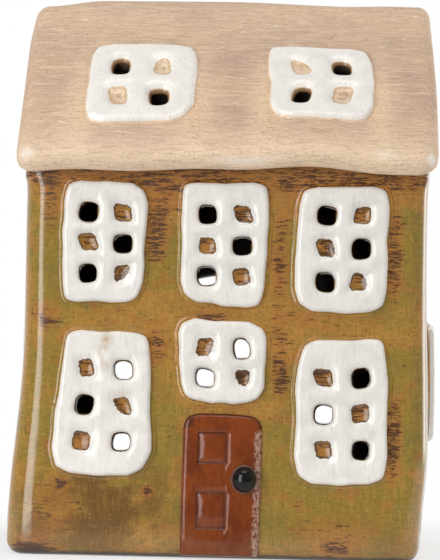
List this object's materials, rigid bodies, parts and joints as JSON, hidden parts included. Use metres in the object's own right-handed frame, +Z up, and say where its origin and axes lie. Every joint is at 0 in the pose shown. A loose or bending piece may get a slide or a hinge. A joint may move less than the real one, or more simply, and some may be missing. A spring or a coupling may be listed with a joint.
{
  "type": "tealight house",
  "caption": "Hand-built glazed pottery house that holds a tealight: pitched roof, pierced white windows, a red-brown door with a bead knob, and an open arch at the back.",
  "frame": {"origin": "on the ground, under the middle of the base slab", "axes": "+Z up towards the ridge, the front with the door faces -Y, the ridge runs along X"},
  "size_m": [0.1122, 0.0902, 0.15],
  "materials": {
    "wall_glaze": "gloss",
    "roof_slip": "matte",
    "window_enamel": "gloss",
    "door_glaze": "gloss",
    "knob_glaze": "gloss",
    "cup_foil": "satin",
    "wax": "satin",
    "tin": "satin",
    "cotton": "matte"
  },
  "bodies": {
    "house": {"base_slab": "wall_glaze", "front_wall": "wall_glaze", "rear_wall": "wall_glaze", "left_gable_wall": "wall_glaze", "right_gable_wall": "wall_glaze", "front_roof_slab": "roof_slip", "rear_roof_slab": "roof_slip", "window_upper_left": "window_enamel", "window_upper_middle": "window_enamel", "window_upper_right": "window_enamel", "window_lower_left": "window_enamel", "window_over_door": "window_enamel", "window_lower_right": "window_enamel", "roof_window_left": "window_enamel", "roof_window_right": "window_enamel", "window_left_gable": "window_enamel", "window_right_gable": "window_enamel", "door": "door_glaze", "door_knob": "knob_glaze"},
    "tealight": {"tealight_cup": "cup_foil", "tealight_wax": "wax", "wick_sustainer": "tin", "wick": "cotton"}
  },
  "joints": [
    {"name": "tealight_slide", "type": "slide", "parent": "house", "child": "tealight", "axis": [0, 1, 0], "range_m": [0, 0.075]}
  ]
}
